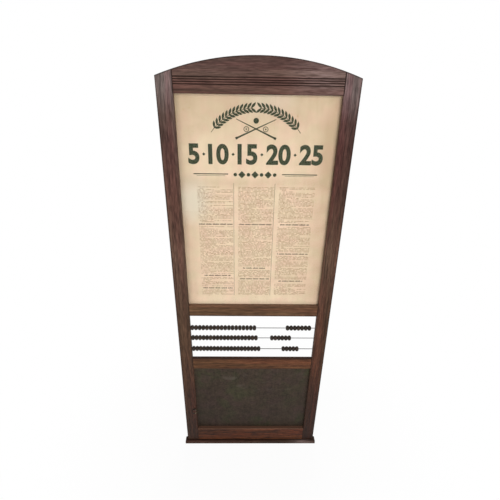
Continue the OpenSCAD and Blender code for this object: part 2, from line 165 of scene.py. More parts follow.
class Tree:
    """The node tree of a material or of the world."""

    def __init__(self, holder: Holder) -> None:
        """Empties a tree.

        Args:
            holder: The material or world that it belongs to.
        """
        holder.use_nodes = True
        self.holder = holder
        self.nodes, self.links = holder.node_tree.nodes, holder.node_tree.links
        self.nodes.clear()

    def node(
        self,
        kind: str,
        settings: Mapping[str, object] | None = None,
        sockets: Mapping[int | str, object] | None = None,
        output: int | str = 0,
    ) -> Wire:
        """Makes a node.

        Args:
            kind: The node's type.
            settings: Its settings. A ramp's are its stops, as positions with colours.
            sockets: Values or wires for its inputs.
            output: The output that is wanted.

        Returns:
            That output.
        """
        made = self.nodes.new(kind)
        for name, value in (settings or {}).items():
            if name == "stops":
                ramp = made.color_ramp
                while len(ramp.elements) < len(value):
                    ramp.elements.new(0.5)
                for element, (place, colour) in zip(ramp.elements, value):
                    element.position, element.color = place, (*colour, 1.0)
            else:
                setattr(made, name, value)
        for name, value in (sockets or {}).items():
            socket = made.inputs[name]
            if isinstance(value, Wire):
                self.links.new(value.socket, socket)
            else:
                socket.default_value = (*value, 1.0) if socket.type == "RGBA" else value
        return Wire(self, made.outputs[output])

    def place(self) -> Wire:
        """The point's place in the model's frame."""
        return self.node("ShaderNodeTexCoord", output="Object")

    def axes(self, where: Wire) -> tuple[Wire, ...]:
        """X, Y and Z of a place."""
        split = self.node("ShaderNodeSeparateXYZ", sockets={0: where})
        return tuple(Wire(self, socket) for socket in split.socket.node.outputs)

    def vector(self, *parts: Term) -> Wire:
        """A vector of some numbers."""
        return self.node("ShaderNodeCombineXYZ", sockets=dict(enumerate(parts)))

    def stretch(self, where: Wire, scale: Point = (1, 1, 1), shift: Point = (0, 0, 0)) -> Wire:
        """A place, scaled and then shifted."""
        return self.node("ShaderNodeMapping", sockets={"Vector": where, "Scale": scale, "Location": shift})

    def noise(self, where: Wire, scale: float, detail: float = 2.0, twist: float = 0.0) -> Wire:
        """Noise from 0 to 1."""
        sockets = {"Vector": where, "Scale": scale, "Detail": detail, "Distortion": twist}
        return self.node("ShaderNodeTexNoise", sockets=sockets)

    def cells(self, where: Wire, scale: float) -> Wire:
        """Distance from the nearest of many scattered points."""
        return self.node("ShaderNodeTexVoronoi", sockets={"Vector": where, "Scale": scale})

    def mix(self, share: Term, first: Wire | Colour, second: Wire | Colour, blend: str = "MIX") -> Wire:
        """A colour between two, or what another blend makes of them."""
        settings = {"data_type": "RGBA", "blend_type": blend}
        return self.node("ShaderNodeMix", settings, {0: share, 6: first, 7: second}, output=2)

    def tint(self, colour: Wire | Colour, other: Wire | Colour) -> Wire:
        """A colour times another."""
        return self.mix(1.0, colour, other, "MULTIPLY")

    def shade(self, share: Term, colour: Wire | Colour) -> Wire:
        """A colour times a number."""
        return self.tint(colour, self.vector(share, share, share))

    def ramp(self, value: Wire, stops: Tones) -> Wire:
        """The colour that a value has on a ramp."""
        return self.node("ShaderNodeValToRGB", {"stops": stops}, {0: value})

    def shader(
        self,
        colour: Wire | Colour,
        roughness: Term,
        gloss: float = 0.5,
        metallic: Term = 0.0,
        relief: tuple[Wire, float] | None = None,
    ) -> Wire:
        """A surface's shader.

        Args:
            colour: Its colour.
            roughness: Its roughness.
            gloss: How much it mirrors where it isn't metal.
            metallic: How much of it is metal.
            relief: Its relief from 0 to 1, with the depth that 1 stands for.

        Returns:
            The shader.
        """
        sockets = {
            "Base Color": colour, "Roughness": roughness, "Specular IOR Level": gloss, "Metallic": metallic
        }
        if relief:
            bump = {"Strength": 1.0, "Distance": relief[1], "Height": relief[0]}
            sockets["Normal"] = self.node("ShaderNodeBump", sockets=bump)
        return self.node("ShaderNodeBsdfPrincipled", sockets=sockets)

    def either(self, share: Term, first: Wire, second: Wire) -> Wire:
        """A shader between two."""
        return self.node("ShaderNodeMixShader", sockets={0: share, 1: first, 2: second})

    def looked_at(self) -> Wire:
        """Tells what is looked at from light that falls on the board.

        Returns:
            1 for rays from the camera, from mirrors and through glass, and 0 for the others.
        """
        rays = ("Is Camera Ray", "Is Glossy Ray", "Is Transmission Ray")
        camera, glossy, through = (self.node("ShaderNodeLightPath", output=ray) for ray in rays)
        return (camera + glossy + through).rise(0.0, 1.0)

    def done(self, surface: Wire, end: str = "ShaderNodeOutputMaterial") -> Holder:
        """Joins a shader to the output and returns what the tree belongs to."""
        self.links.new(surface.socket, self.nodes.new(end).inputs["Surface"])
        return self.holder


class Finish(ABC):
    """What a piece is finished in. Each kind is a frozen dataclass that has the material's name."""

    name: str

    @abstractmethod
    def surface(self, tree: Tree, place: Wire) -> Wire:
        """The finish's shader at a place in the model's frame."""

    def material(self) -> bpy.types.Material:
        """The finish as a material."""
        tree = Tree(bpy.data.materials.new(self.name))
        return tree.done(self.surface(tree, tree.place()))


class Way(Enum):
    """The axis that a board's grain runs along."""

    LEVEL = 0
    UPRIGHT = 2

    def drawn(self, share: float) -> tuple[float, ...]:
        """The scale of the three axes that draws a pattern out along the grain."""
        return tuple(share if axis == self.value else 1.0 for axis in range(3))


class Run(Enum):
    """What a dark line on a board follows."""

    JOINT = "a place left and right of the middle"
    LEVEL = "a height"
    ARCH = "the arch"


@dataclass(frozen=True)
class Line:
    """A dark line of old dust and polish along a joint, a line of painted shade along an edge, or a pale
    painted highlight on an arris.

    Attributes:
        run: What it follows.
        place: Its distance from the middle, its height or its distance from the arch's centre.
        reach: How far it fades to either side.
        depth: How dark it is, from 0 to 1, or how pale, from 0 to -1.
        centre: Height of the arch's centre.
        span: The heights between which it runs.
    """

    run: Run
    place: float
    reach: float
    depth: float
    centre: float = 0.0
    span: tuple[float, float] | None = None

    def near(self, across: Wire, up: Wire) -> Wire:
        """How near a point is to the line.

        Args:
            across: The point's X.
            up: The point's Z.

        Returns:
            1 on the line and 0 out of its reach.
        """
        where = abs(across) if self.run is Run.JOINT else up
        if self.run is Run.ARCH:
            where = distance(across, up - self.centre)
        near = 1 - abs(where - self.place).rise(self.reach * 0.25, self.reach)
        if self.span:
            (low, high), fade = self.span, 1e-4
            near = near * up.rise(low, low + fade) * (1 - up.rise(high - fade, high))
        return near


@dataclass(frozen=True)
class Oak(Finish):
    """Stained and waxed oak with long fibres, open pores, dark lines at its joints, and painted light, shade
    and sheen.

    Attributes:
        name: The material's name.
        way: The way of the grain.
        tones: Colour up the board, as shares of its height with colours: the wood's tone with painted light
            that is brighter higher up.
        shift: Where in the pattern this board is cut from.
        lines: Dark lines along its joints and edges, some of them painted shade, and pale lines that are
            painted highlights.
        bloom: Height share, X in metres and reach of a painted sheen.
        stain: X, height and reach of a painted shadow.
        gloss: How much it mirrors.
        streak: How strong its streaks are.
        bare: Colour of the painted light on faces and of the painted highlights on arrises.
        wax: Colour of the painted sheen.
        dirt: Colour of the old dust and polish in the joints, and of the painted shade.
    """

    name: str
    way: Way
    tones: Tones
    shift: tuple[float, float, float]
    lines: tuple[Line, ...] = ()
    bloom: tuple[float, float, float] | None = None
    stain: tuple[float, float, float] | None = None
    gloss: float = 0.16
    streak: float = 0.8
    bare: Colour = paint(142, 108, 90)
    wax: Colour = paint(158, 136, 134)
    dirt: Colour = paint(28, 16, 11)

    def surface(self, tree: Tree, place: Wire) -> Wire:
        """Grain in several scales, then painted light, dark joints, painted shade and a painted sheen.

        Args:
            tree: The material's tree.
            place: The point's place.

        Returns:
            The shader.
        """
        across, _, up = tree.axes(place)
        run, fine, short = (
            tree.stretch(place, self.way.drawn(share), self.shift) for share in (0.055, 0.0275, 0.09)
        )
        cloud = tree.noise(run, 9.0)
        bands = tree.noise(run, 62.0, 3.0, 0.2)
        fibre = tree.noise(fine, 520.0)
        flecks = tree.noise(short, 250.0, 2.0, 0.1).rise(0.56, 0.72)
        pores = tree.noise(fine, 1500.0, 1.0).rise(0.62, 0.70)
        streaks = tree.noise(run, 140.0, 1.0, 0.1).rise(0.25, 0.75) - 0.5
        scratches = tree.noise(short, 330.0, 1.0).rise(0.36, 0.64) - 0.5
        height = (up - FOOT) / HEIGHT
        cast = tree.noise(tree.stretch(run, shift=(4.0, 7.0, 2.0)), 30.0).rise(0.36, 0.64)
        tone = tree.ramp(height + (cloud - 0.5) * 0.05, self.tones)
        tone = tree.tint(tone, tree.mix(cast, (0.86, 0.94, 0.86), (1.0, 0.86, 0.84)))
        grain = 0.50 + 0.34 * cloud + 0.44 * (bands - 0.28).rise(0.0, 0.46) + 0.26 * (fibre - 0.5)
        grain = grain * (1 + self.streak * (0.7 * streaks + 0.60 * scratches))
        colour = tree.shade(grain * (1 - 0.40 * pores) * (1 - 0.26 * flecks), tone)
        # The face mark: above 0 paints light, below 0 paints shade and darker arrises.
        wear = tree.node("ShaderNodeAttribute", {"attribute_name": LIGHT_SHADE_AND_GRIME}, output="Fac")
        # Painted light where the face mark is above 0; the pale lines below add painted highlights.
        rubbed = wear.rise(0.0, 1.0) * (0.10 + 0.35 * cloud)
        # Painted shade and darker arrises where the face mark is below 0; the dark lines add dark joints and
        # painted shade.
        grime = (0.0 - wear).rise(0.0, 1.0) * 0.85
        # Dark lines: dark joints, and painted shade along edges; pale lines: painted highlights on arrises.
        for line in self.lines:
            near = line.near(across, up) * (0.6 + 0.8 * bands) * line.depth
            if line.depth > 0:
                grime = 1 - (1 - grime) * (1 - near)
            else:
                rubbed = rubbed - near
        colour = tree.mix(rubbed, colour, self.bare)
        # A painted sheen: a pale patch in place of a reflection.
        if self.bloom:
            at_height, at_x, reach = self.bloom
            far = distance(across - at_x, (height - at_height) * HEIGHT)
            sheen_mask = (1 - far.rise(0.0, reach)) * (0.55 + 0.6 * bands)
            colour = tree.mix(sheen_mask * (0.28 + 0.20 * streaks + 0.26 * scratches), colour, self.wax)
        # A painted shadow, darkest near its centre.
        if self.stain:
            at_x, at_z, reach = self.stain
            clear = distance(across - at_x, up - at_z).rise(reach * 0.4, reach)
            grime = 1 - (1 - grime) * (0.45 + 0.55 * clear)
        relief = 0.5 * fibre + 0.5 * bands - 0.9 * pores
        roughness = 0.50 + 0.14 * cloud + 0.16 * pores
        return tree.shader(
            tree.mix(grime, colour, self.dirt), roughness, self.gloss, relief=(relief, 0.00022)
        )


@dataclass(frozen=True)
class Pine(Finish):
    """Bare pine of the backboards, brown with age and dust, with rings that pass round its knots.

    Attributes:
        left: X of the first plank's left edge.
        pitch: Distance from plank to plank.
        name: The material's name.
        early: Colour of the early wood.
        late: Colour of the late wood.
        knot: Colour of the knots.
    """

    left: float
    pitch: float
    name: str = "aged_pine"
    early: Colour = paint(150, 119, 86)
    late: Colour = paint(104, 74, 49)
    knot: Colour = paint(70, 44, 28)

    def surface(self, tree: Tree, place: Wire) -> Wire:
        """Rings and fibres, cut from another place of the tree for each plank.

        Args:
            tree: The material's tree.
            place: The point's place.

        Returns:
            The shader.
        """
        across, _, up = tree.axes(place)
        plank = ((across - self.left) / self.pitch).floor()
        own = tree.vector(across + plank * 1.37, plank * 0.61, up - plank * 2.9)
        knots = tree.cells(tree.stretch(own, (5.2, 1, 2.9)), 1.0)
        run = tree.stretch(own, (1.0, 1.0, 0.075))
        bend = (1 - knots.rise(0.02, 0.30)) ** 2.0
        field = tree.noise(run, 5.5, 1.0) + 0.10 * tree.noise(run, 40.0) + 0.30 * bend
        rings = (field * 34) % 1
        fibre = tree.noise(run, 620.0)
        colour = tree.mix(0.72 * rings ** 2.2 + 0.25 * (fibre - 0.3), self.early, self.late)
        colour = tree.mix((1 - knots.rise(0.035, 0.070)) * 0.9, colour, self.knot)
        stain, dust = tree.noise(own, 4.0, 5.0), tree.noise(own, 60.0, 3.0)
        colour = tree.shade(0.60 + 0.42 * stain + 0.16 * dust, colour)
        return tree.shader(colour, 0.66 + 0.16 * fibre, 0.25, relief=(fibre + 0.5 * rings, 0.00015))


@dataclass(frozen=True)
class Columns:
    """Where the small lines lie on the printed sheet.

    Attributes:
        left: X of the first column's left edge.
        pitch: Distance from column to column.
        width: Width of a column.
        margin: Distance from the rule before a column to the column.
        top: Height of the uppermost line.
        rows: Number of lines in a column.
        row: Distance from line to line.
        headings: Column, line and half width of each heading.
    """

    left: float = -0.1970
    pitch: float = 0.1370
    width: float = 0.1195
    margin: float = 0.0150
    top: float = -0.2135
    rows: int = 93
    row: float = 0.0046
    headings: tuple[tuple[int, int, float], ...] = (
        (0, 29, 0.059), (1, 29, 0.057), (2, 29, 0.050), (2, 54, 0.055), (1, 67, 0.042), (0, 74, 0.048),
        (1, 77, 0.053), (2, 79, 0.045), (0, 86, 0.055),
    )


@dataclass(frozen=True)
class AgedPaper(Finish):
    """Aged printing paper with toned edges, painted reflections of the glass, foxing and columns of small
    lines.
    """

    columns: Columns
    name: str = "aged_paper"
    paper: Colour = paint(237, 211, 191)
    toned: Colour = paint(198, 170, 146)
    faded: Colour = paint(218, 208, 196)
    foxed: Colour = paint(176, 128, 84)
    creased: Colour = paint(176, 150, 116)
    small_ink: Colour = paint(148, 110, 84)

    def surface(self, tree: Tree, place: Wire) -> Wire:
        """Paper toned by age and light, with painted reflections of the glass and painted light at its foot,
        then its spots, folds and small print.

        Args:
            tree: The material's tree.
            place: The point's place.

        Returns:
            The shader.
        """
        across, _, up = tree.axes(place)
        mottle = tree.noise(place, 26.0, 4.0)
        fibre = tree.noise(place, 1400.0)
        cloud = tree.noise(place, 3.6, 4.0, 0.5) - 0.5
        fleck = mottle - 0.5
        wrinkle = tree.noise(tree.stretch(place, (1.0, 1.0, 0.14)), 70.0, 3.0)
        edge = (abs(across) + 0.03 * cloud).rise(0.17, 0.27)
        head = (up + 0.06 * cloud).rise(-0.12, 0.06)
        corner = (distance((across - 0.25) * 1.7, up + 0.098) + 0.04 * fleck).rise(0.03, 0.15)
        # Painted light: the lowest strip of the sheet is toned less, so it is lighter.
        foot = (up + 0.03 * cloud).rise(-0.68, -0.62)
        right = across.rise(0.06, 0.24) * (1 - head)
        brow = 1 - abs(up + 0.198).rise(0.0, 0.032)
        toned = 0.48 * edge * (1 - 0.5 * head) + 0.20 * right + 0.48 * head + 0.36 * (1 - corner)
        toned = toned + 0.22 * foot + 0.28 * brow + 0.55 * (mottle - 0.44) + 0.3 * (wrinkle - 0.5)
        colour = tree.mix(toned, self.paper, self.toned)
        hue = tree.noise(tree.stretch(place, shift=(0.4, 0, 0.9)), 21.0, 3.0).rise(0.36, 0.64)
        colour = tree.tint(colour, tree.mix(hue, (1.0, 0.965, 0.965), (0.965, 1.0, 0.955)))
        # Painted reflections of the glass: pale patches at the left and near the top.
        beside = distance(across + 0.212, (up + 0.258) * 0.75)
        aloft = distance((across - 0.03) * 0.8, (up - 0.06) * 1.1)
        fade = (1 - (beside + 0.05 * cloud + 0.03 * fleck).rise(0.01, 0.09)) * 0.70
        fade = fade + (1 - (aloft + 0.06 * fleck).rise(0.0, 0.10)) * 0.30
        colour = tree.mix(fade, colour, self.faded)
        foxing = (1 - tree.cells(place, 46.0).rise(0.05, 0.16)) * mottle.rise(0.50, 0.62) * 0.5
        colour = tree.mix(foxing, colour, self.foxed)
        folds = (1 - abs(across - 0.052).rise(0.0, 0.0016)) + (1 - abs(up + 0.302).rise(0.0, 0.0016))
        colour = tree.mix(folds * 0.22, colour, self.creased)
        colour = tree.mix(self._small_lines(tree, across, up), colour, self.small_ink)
        colour = tree.shade(0.965 + 0.07 * fibre, colour)
        return tree.shader(colour, 0.8 + 0.1 * fibre, 0.2, relief=(fibre - 0.6 * folds, 0.00006))

    def _small_lines(self, tree: Tree, across: Wire, up: Wire) -> Wire:
        """Lines of strokes that only look like lettering.

        Args:
            tree: The material's tree.
            across: The point's X.
            up: The point's Z.

        Returns:
            How much ink lies there.
        """
        at = self.columns
        column = ((across - at.left) / at.pitch).floor()
        along = across - at.left - column * at.pitch
        depth = (at.top - up) / at.row + 0.5
        line = depth.floor()
        inside = column.above(-0.5) * (2.5 - column).above(0.0)
        inside = inside * line.above(-0.5) * (at.rows - line).above(0.5)
        plain: Term = 1.0
        for place, row, _ in at.headings:
            plain = plain - (1.2 - abs(line - row)).above(0.0) * (0.5 - abs(column - place)).above(0.0)
        flat, key = {"noise_dimensions": "2D"}, {"Vector": tree.vector(line, column)}
        luck = tree.node("ShaderNodeTexWhiteNoise", flat, key, "Value")
        length = at.width * (1 - (luck - 0.78).above(0.0) * (luck - 0.74) * 3.2)
        indent = (luck - 0.9).above(0.0) * 0.006
        inside = inside * (length - along).above(0.0) * (along - indent).above(0.0)
        spelling = tree.vector(along * 1000, line * 7.3 + column * 31.7)
        words = tree.noise(spelling, 0.16, 1.0).rise(0.42, 0.47)
        letters = tree.noise(spelling, 0.95, 1.0)
        reach = 0.17 + 0.34 * letters - abs(depth - line - 0.5)
        strokes = reach.rise(0.0, 0.10) * (0.35 + 0.9 * letters.rise(0.35, 0.62))
        return inside * plain * words * strokes * 0.64


@dataclass(frozen=True)
class PrintersInk(Finish):
    """Dark printer's ink, a little worn, green unless it is given other colours."""

    name: str = "green_ink"
    deep: Colour = paint(47, 54, 36)
    thin: Colour = paint(84, 86, 58)

    def surface(self, tree: Tree, place: Wire) -> Wire:
        """Ink that is thin in patches and specks.

        Args:
            tree: The material's tree.
            place: The point's place.

        Returns:
            The shader.
        """
        wear = tree.noise(place, 160.0, 4.0).rise(0.42, 0.78)
        speck = tree.noise(place, 1300.0, 1.0).rise(0.60, 0.72)
        return tree.shader(tree.mix(0.45 * wear + 0.4 * speck, self.deep, self.thin), 0.62 + 0.2 * wear, 0.2)


@dataclass(frozen=True)
class WindowGlass(Finish):
    """Thin clear glass that mirrors a little, more at a slant, with faint ripples."""

    name: str = "window_glass"
    clear: Colour = (0.975, 0.985, 0.97)
    straight_on: float = 0.012

    def surface(self, tree: Tree, place: Wire) -> Wire:
        """A clear pane with a faint mirror over it.

        Args:
            tree: The material's tree.
            place: The point's place.

        Returns:
            The shader.
        """
        ripple = tree.noise(tree.stretch(place, (1.0, 1.0, 0.4)), 9.0)
        slant = tree.node("ShaderNodeLayerWeight", sockets={"Blend": 0.5}, output="Facing")
        through = tree.node("ShaderNodeBsdfTransparent", sockets={"Color": self.clear})
        mirror = tree.shader(WHITE, 0.04, metallic=1.0, relief=(ripple, 0.0004))
        return tree.either(self.straight_on + 0.8 * slant ** 5, through, mirror)


@dataclass(frozen=True)
class WritingSlate(Finish):
    """Worn slate with rubbed chalk, fine scratches and a greenish cast in places.

    Attributes:
        name: The material's name.
        stone: Colour of the stone.
        green: Colour of its greenish cast.
        plum: Colour of its reddish cast.
        chalk: Colour of the chalk.
        sill: Height of the slate's lower edge.
        tall: How much of it shows.
        left: X of its left edge.
    """

    name: str = "writing_slate"
    stone: Colour = paint(62, 51, 42)
    green: Colour = paint(59, 59, 40)
    plum: Colour = paint(66, 51, 47)
    chalk: Colour = paint(150, 143, 132)
    sill: float = FOOT + 0.096
    tall: float = 0.38
    left: float = -0.2505

    def surface(self, tree: Tree, place: Wire) -> Wire:
        """Stone in three casts, with painted light that is brighter upwards and along its left edge, and
        wiped chalk round its middle.

        Args:
            tree: The material's tree.
            place: The point's place.

        Returns:
            The shader.
        """
        across, _, up = tree.axes(place)
        cloud, grit = tree.noise(place, 7.0, 4.0), tree.noise(place, 900.0)
        green = tree.noise(tree.stretch(place, shift=(3.1, 0, 7.7)), 8.5, 3.0).rise(0.46, 0.66) * 0.7
        plum = tree.noise(tree.stretch(place, shift=(6.3, 0, 2.2)), 17.0).rise(0.48, 0.66) * 0.6
        colour = tree.mix(plum, tree.mix(green, self.stone, self.green), self.plum)
        upright = tree.noise(tree.stretch(place, (1, 1, 0.12)), 75.0, 3.0)
        pits, blotch = tree.noise(place, 130.0, 3.0), tree.noise(place, 48.0, 1.0)
        mottle = 0.42 * (upright - 0.5) + 0.8 * (pits - 0.5) + 0.6 * (blotch - 0.5)
        # Painted light: brighter upwards and along the left edge.
        painted_falloff = 0.80 + 0.34 * (up - self.sill) / self.tall
        painted_falloff = painted_falloff * (1.36 - 0.36 * (across - self.left).rise(0.0, 0.012))
        colour = tree.shade((0.595 + 0.24 * cloud + mottle) * painted_falloff, colour)
        near = 1 - distance((across - 0.02) * 0.55, (up + 1.075) * 1.1).rise(0.02, 0.13)
        wiped = tree.noise(tree.stretch(place, (0.5, 1, 1), (1.7, 0, 0.3)), 24.0, 5.0, 1.2)
        strokes = wiped.rise(0.54, 0.74) * (0.06 + 0.40 * near) + 0.03 * wiped
        specks = tree.noise(place, 210.0).rise(0.66, 0.74) * (0.10 + 0.55 * near)
        dust = strokes * (0.35 + 0.8 * grit) * 0.35 + specks * 0.30
        colour = tree.mix(dust, colour, self.chalk)
        return tree.shader(colour, 0.62 + 0.2 * dust, 0.16, relief=(0.4 * grit + upright, 0.00012))


@dataclass(frozen=True)
class Metal(Finish):
    """Dull old metal with a skin of rust or tarnish.

    Attributes:
        name: The material's name.
        bright: Colour of the metal.
        skin: Colour of what lies on it.
        cover: How much of it lies there, from 0 to 1.
        rubbed: X from which its skin is left off, a painted glint, if it has one.
    """

    name: str
    bright: Colour
    skin: Colour
    cover: float
    rubbed: float | None = None

    def surface(self, tree: Tree, place: Wire) -> Wire:
        """Metal under a skin that lies in blotches.

        Args:
            tree: The material's tree.
            place: The point's place.

        Returns:
            The shader.
        """
        blotch, fine = tree.noise(place, 260.0, 5.0), tree.noise(place, 1800.0)
        skin = (blotch + 0.2 * fine).rise(0.92 - self.cover * 0.6, 1.02 - self.cover * 0.5)
        # A painted glint: from that X on, the metal has no skin.
        if self.rubbed is not None:
            skin = skin * (1 - tree.axes(place)[0].rise(self.rubbed, self.rubbed + 0.002))
        colour = tree.mix(skin, self.bright, self.skin)
        relief = (skin * 0.6 + fine * 0.4, 0.00008)
        return tree.shader(colour, 0.34 + 0.3 * skin + 0.1 * fine, metallic=1 - 0.85 * skin, relief=relief)


@dataclass(frozen=True)
class EbonisedWood(Finish):
    """Black stained and polished turned wood of the beads."""

    name: str = "ebonised_beads"
    black: Colour = paint(46, 39, 34)
    brown: Colour = paint(72, 59, 50)

    def surface(self, tree: Tree, place: Wire) -> Wire:
        """Black stain that is rubbed brown in places.

        Args:
            tree: The material's tree.
            place: The point's place.

        Returns:
            The shader.
        """
        grain = tree.noise(tree.stretch(place, (0.2, 1, 1)), 700.0, 3.0)
        rubbed = (0.6 * grain + 0.7 * tree.noise(place, 55.0, 1.0)).rise(0.6, 0.95)
        colour = tree.mix(rubbed, self.black, self.brown)
        return tree.shader(colour, 0.34 + 0.2 * grain, 0.18, relief=(grain, 0.00004))


@dataclass(frozen=True)
class Card(Finish):
    """Grey-brown card of the spacer."""

    name: str = "spacer_card"
    dark: Colour = paint(150, 128, 98)
    pale: Colour = paint(186, 162, 128)

    def surface(self, tree: Tree, place: Wire) -> Wire:
        """Card with its pulp showing."""
        return tree.shader(tree.mix(tree.noise(place, 500.0, 3.0), self.dark, self.pale), 0.9)


# Meshes


def add(name: str, data: bpy.types.ID) -> bpy.types.Object:
    """Puts a new object in the scene.

    Args:
        name: Its name.
        data: Its mesh, curve, camera or light.

    Returns:
        The object.
    """
    made = bpy.data.objects.new(name, data)
    bpy.context.scene.collection.objects.link(made)
    return made


def verts_in(geom: Geometry) -> Verts:
    """The vertices of some geometry."""
    return [g for g in geom if isinstance(g, bmesh.types.BMVert)]


class Shape:
    """A mesh that is shaped by operators and handed over as a piece."""

    def __init__(self) -> None:
        """Starts an empty mesh, with a mark on its faces for painted light, painted shade and darker arrises.
        """
        self.bm = bmesh.new()
        self.wear = self.bm.faces.layers.float.new(LIGHT_SHADE_AND_GRIME)

    def move(self, verts: Verts, step: Point) -> None:
        """Moves vertices."""
        bmesh.ops.translate(self.bm, vec=step, verts=verts)

    def turn(self, verts: Verts, angle: float, axis: str, centre: Point = (0, 0, 0)) -> None:
        """Turns vertices about an axis through a centre."""
        bmesh.ops.rotate(self.bm, cent=centre, matrix=Matrix.Rotation(angle, 3, axis), verts=verts)

    def box(self, low: Vector, high: Vector) -> Verts:
        """Adds a box.

        Args:
            low: Its lowest corner.
            high: Its highest corner.

        Returns:
            Its corners.
        """
        verts = bmesh.ops.create_cube(self.bm, size=1.0)["verts"]
        bmesh.ops.scale(self.bm, vec=high - low, verts=verts)
        self.move(verts, (high + low) / 2)
        return verts

    def disc(self, centre: Vector, radius: float, depth: float, sides: int) -> Verts:
        """Adds a disc that faces along Y.

        Args:
            centre: Its centre.
            radius: Its radius.
            depth: Its thickness.
            sides: Number of its sides.

        Returns:
            Its vertices.
        """
        verts = bmesh.ops.create_cone(
            self.bm, cap_ends=True, segments=sides, radius1=radius, radius2=radius, depth=depth
        )["verts"]
        self.turn(verts, math.pi / 2, "X")
        self.move(verts, centre)
        return verts

    def chain(self, line: Verts, points: Iterable[Point]) -> None:
        """Draws a line of edges on to some points.

        Args:
            line: The line's vertices, which the new ones join.
            points: The points.
        """
        for point in points:
            line.append(self.bm.verts.new(point))
            self.bm.edges.new(line[-2:])

    def spin(
        self,
        geom: Geometry,
        axis: str,
        angle: float,
        steps: int,
        centre: Point = (0, 0, 0),
    ) -> Verts:
        """Draws geometry out round an axis.

        Args:
            geom: The geometry.
            axis: The axis.
            angle: How far it goes, in radians. A full turn is closed.
            steps: Number of steps.
            centre: A point of the axis.

        Returns:
            The vertices at its end.
        """
        ends = bmesh.ops.spin(
            self.bm, geom=geom, cent=centre, axis=Matrix.Identity(3)["XYZ".index(axis)], dvec=(0, 0, 0),
            angle=angle, steps=steps, use_merge=angle == FULL_TURN,
        )
        return verts_in(ends["geom_last"])

    def sweep(self, step: Vector, steps: int) -> None:
        """Draws the line of all edges out in equal steps.

        Args:
            step: One step.
            steps: Number of steps.
        """
        line = self.bm.edges[:]
        for _ in range(steps):
            made = bmesh.ops.extrude_edge_only(self.bm, edges=line)["geom"]
            self.move(verts_in(made), step)
            line = [g for g in made if isinstance(g, bmesh.types.BMEdge) and g.is_boundary]
            line = [e for e in line if abs((e.verts[0].co - e.verts[1].co).dot(step)) < HAIR ** 2]

    def thicken(self, step: Vector) -> None:
        """Draws all faces out into a closed solid."""
        made = bmesh.ops.extrude_face_region(self.bm, geom=self.bm.faces[:], use_keep_orig=True)["geom"]
        self.move(verts_in(made), step)

    def mark(self, faces: Iterable[bmesh.types.BMFace], wear: Callable[[Vector], float]) -> None:
        """Marks faces with the light-and-shade mark that a function gives for their middles."""
        for face in faces:
            face[self.wear] = wear(face.calc_center_median())

    def bevel(self, edges: list[bmesh.types.BMEdge], width: float, segments: int) -> list[bmesh.types.BMFace]:
        """Rounds edges off and returns the new faces."""
        return bmesh.ops.bevel(
            self.bm, geom=edges, offset=width, offset_type="OFFSET", affect="EDGES",
            segments=segments, profile=0.5, material=-1, clamp_overlap=True,
        )["faces"]

    def ease(self, width: float) -> list[bmesh.types.BMFace]:
        """Eases the sharp edges.

        Args:
            width: Width of the easing.

        Returns:
            The faces of the eased edges.
        """
        bmesh.ops.recalc_face_normals(self.bm, faces=self.bm.faces[:])
        sharp = [e for e in self.bm.edges if e.is_manifold and e.calc_face_angle() > math.radians(50)]
        return self.bevel(sharp, width, 2)

    def piece(
        self,
        name: str,
        finish: bpy.types.Material,
        body: str = BOARD,
        instead: str = "",
        even: bool = True,
    ) -> None:
        """Hands the mesh over as a piece of the model.

        Args:
            name: The piece's name.
            finish: Its material.
            body: The body that it moves with.
            instead: The node of the frame that it replaces, if there is one.
            even: Whether its normals are evened, for broad faces beside eased edges.
        """
        bmesh.ops.recalc_face_normals(self.bm, faces=self.bm.faces[:])
        mesh = bpy.data.meshes.new(name)
        self.bm.to_mesh(mesh)
        self.bm.free()
        mesh.shade_smooth()
        mesh.set_sharp_from_angle(angle=math.radians(40))
        mesh.materials.append(finish)
        made = add(name, mesh)
        if even:
            made.modifiers.new("even_normals", "WEIGHTED_NORMAL").keep_sharp = True
        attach(made, body)
        if instead:
            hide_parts(instead)
        log.info("%s: %d faces on %s", name, len(mesh.polygons), body)


def dress(finish: bpy.types.Material, *nodes: str) -> None:
    """Gives nodes of the frame their material.

    Args:
        finish: The material.
        nodes: The nodes.
    """
    for node in nodes:
        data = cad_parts[node].data
        data.materials.clear()
        data.materials.append(finish)
        log.info("%s: dressed", node)


# The board


